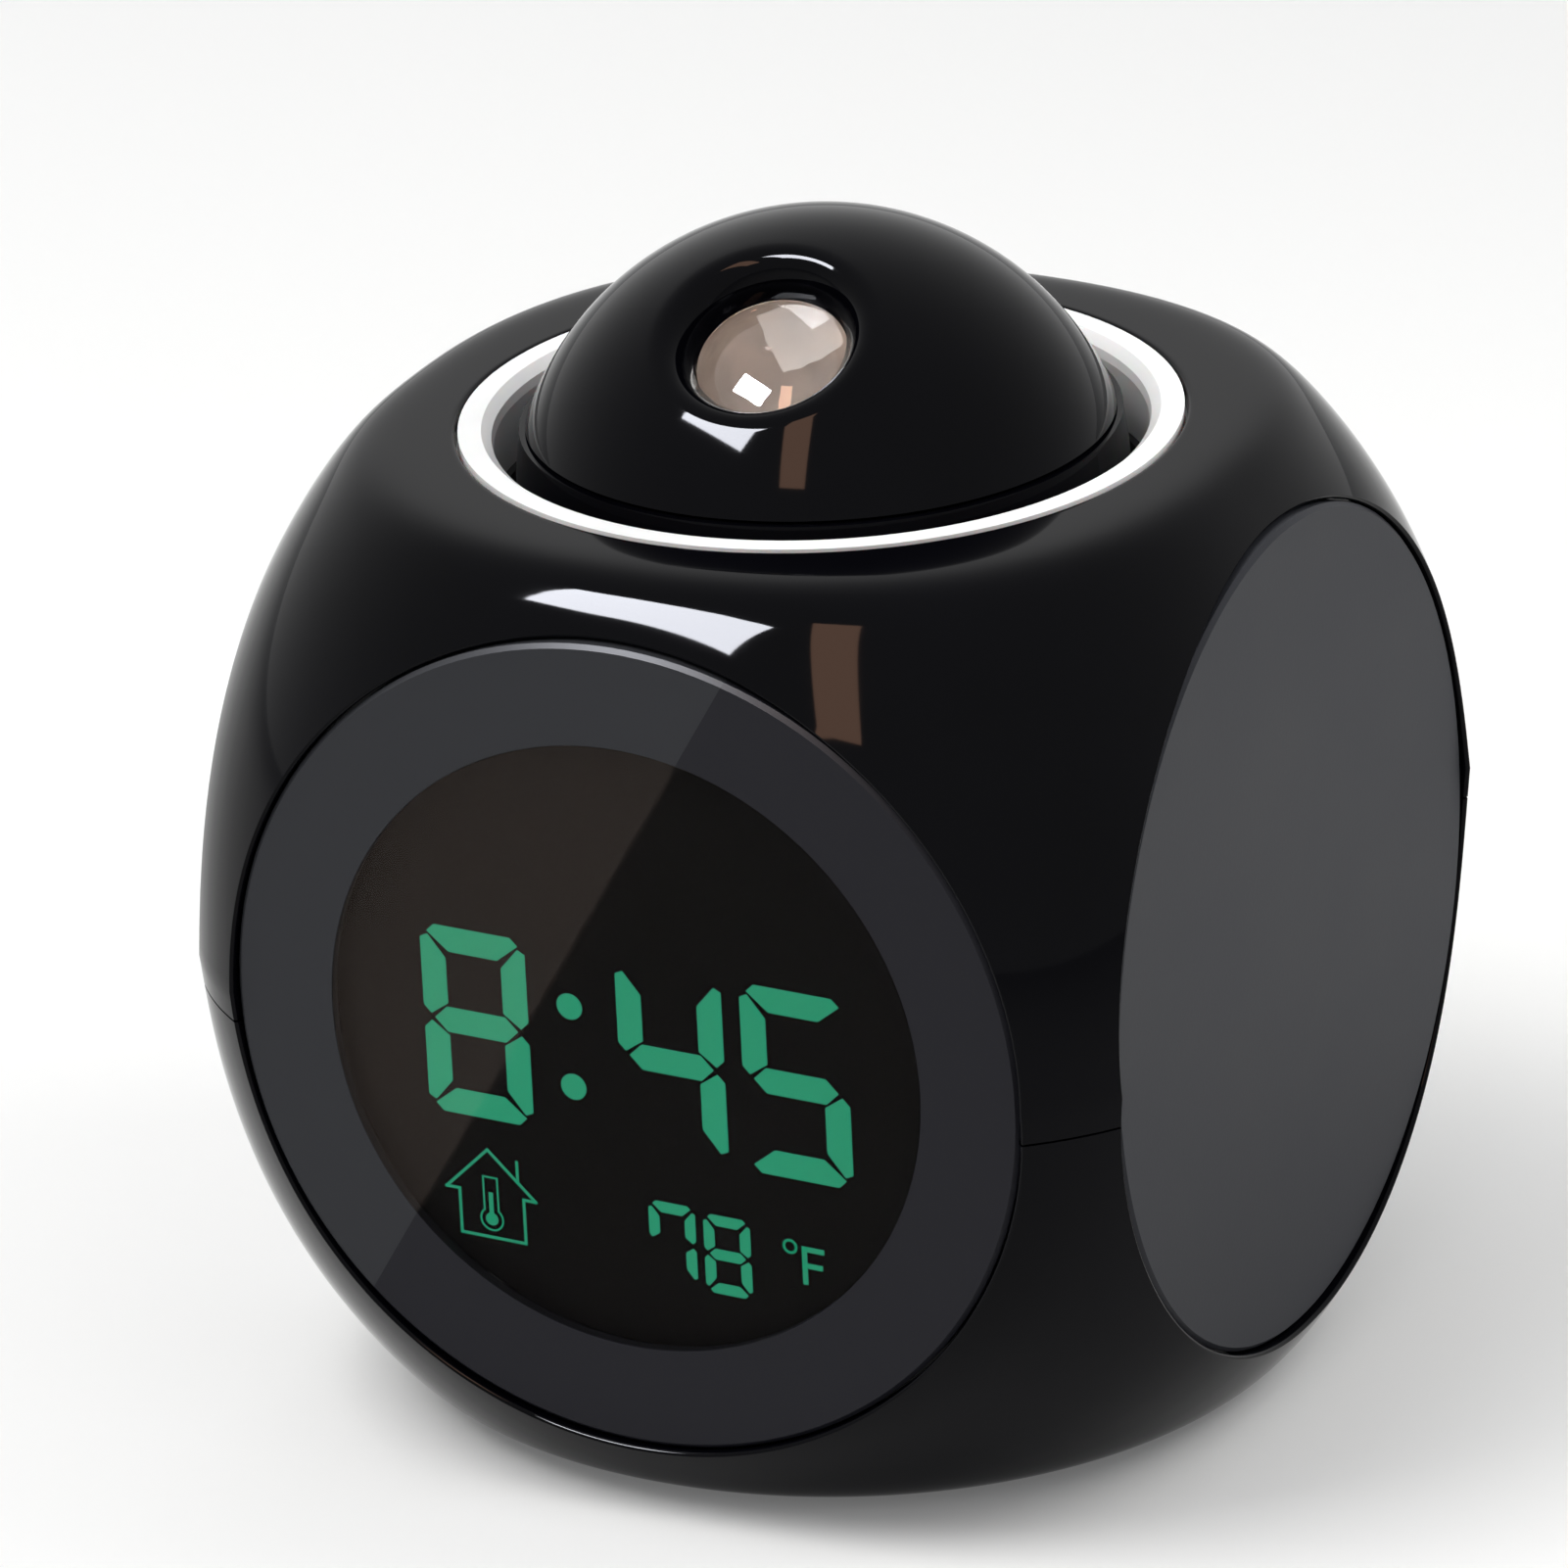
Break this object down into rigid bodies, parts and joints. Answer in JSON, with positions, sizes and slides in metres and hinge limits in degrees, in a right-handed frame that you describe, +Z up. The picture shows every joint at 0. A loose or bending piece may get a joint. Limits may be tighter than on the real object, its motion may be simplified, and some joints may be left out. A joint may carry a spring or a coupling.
{
  "type": "projection alarm clock",
  "caption": "Rounded cube bedside clock with a round display and a domed projector on top that turns and presses, with rear keys and a battery door.",
  "frame": {"origin": "on the table, under the middle of the four feet", "axes": "+Z up; -Y is the display's side; +X is to the right when facing the display"},
  "size_m": [0.0926, 0.0926, 0.1082],
  "materials": {
    "gloss_housing": "piano black gloss ABS",
    "gloss_dome": "piano black gloss ABS",
    "satin_panel": "fine satin ABS, very dark grey",
    "key_cap": "satin ABS",
    "display_lens": "smoked acrylic, polished",
    "lcd_glass": "dark liquid crystal glass",
    "clear_optic": "clear moulded acrylic",
    "white_ring": "white satin ABS",
    "inner_plastic": "black moulded ABS",
    "circuit_board": "green solder mask",
    "board_part": "black resin",
    "lamp": "clear epoxy",
    "steel": "zinc plated steel",
    "magnet": "ferrite",
    "cone_paper": "pressed paper",
    "cell_jacket": "plain printed jacket",
    "door": "satin ABS",
    "foot": "soft black rubber"
  },
  "bodies": {
    "case": {"upper_housing": "gloss_housing", "lower_housing": "gloss_housing", "front_bezel": "satin_panel", "display_lens": "display_lens", "lcd_glass": "lcd_glass", "lcd_frame": "white_ring", "backlight": "white_ring", "main_board": "circuit_board", "board_parts": "board_part", "board_screws": "steel", "side_panel_left": "satin_panel", "side_panel_right": "satin_panel", "rear_panel": "satin_panel", "key_board": "circuit_board", "key_switches": "board_part", "speaker_basket": "steel", "speaker_cone": "cone_paper", "speaker_magnet": "magnet", "light_ring": "white_ring", "projector_chassis": "inner_plastic", "head_switch": "board_part", "head_spring": "steel", "battery_cells": "cell_jacket", "battery_contacts": "steel", "rubber_feet": "foot", "case_screws": "steel"},
    "carrier": {"head_carrier": "inner_plastic"},
    "head": {"dome_base": "gloss_dome", "dome_cap": "gloss_dome", "projection_lens": "clear_optic", "lens_barrel": "inner_plastic", "projector_slide": "lcd_glass", "projector_led": "lamp", "projector_board": "circuit_board"},
    "door": {"battery_door": "door"},
    "mode_key": {"mode_key": "key_cap"},
    "set_key": {"set_key": "key_cap"},
    "up_key": {"up_key": "key_cap"},
    "down_key": {"down_key": "key_cap"}
  },
  "joints": [
    {"name": "dome_press", "type": "slide", "parent": "case", "child": "carrier", "axis": [0, 0, -1], "range_m": [0, 0.0015], "stiffness_N_per_m": 1500, "springref_m": -0.001, "deforming": ["head_spring"]},
    {"name": "dome_turn", "type": "hinge", "parent": "carrier", "child": "head", "pos_m": [0, 0, 0.0796], "axis": [0, 0, 1], "range_deg": [-90, 90]},
    {"name": "battery_door_hinge", "type": "hinge", "parent": "case", "child": "door", "pos_m": [0, -0.01815, 0.001], "axis": [-1, 0, 0], "range_deg": [0, 90]},
    {"name": "mode_key_press", "type": "slide", "parent": "case", "child": "mode_key", "axis": [0, -1, 0], "range_m": [0, 0.0006], "stiffness_N_per_m": 1500, "springref_m": -0.0004},
    {"name": "set_key_press", "type": "slide", "parent": "case", "child": "set_key", "axis": [0, -1, 0], "range_m": [0, 0.0006], "stiffness_N_per_m": 1500, "springref_m": -0.0004},
    {"name": "up_key_press", "type": "slide", "parent": "case", "child": "up_key", "axis": [0, -1, 0], "range_m": [0, 0.0006], "stiffness_N_per_m": 1500, "springref_m": -0.0004},
    {"name": "down_key_press", "type": "slide", "parent": "case", "child": "down_key", "axis": [0, -1, 0], "range_m": [0, 0.0006], "stiffness_N_per_m": 1500, "springref_m": -0.0004}
  ]
}
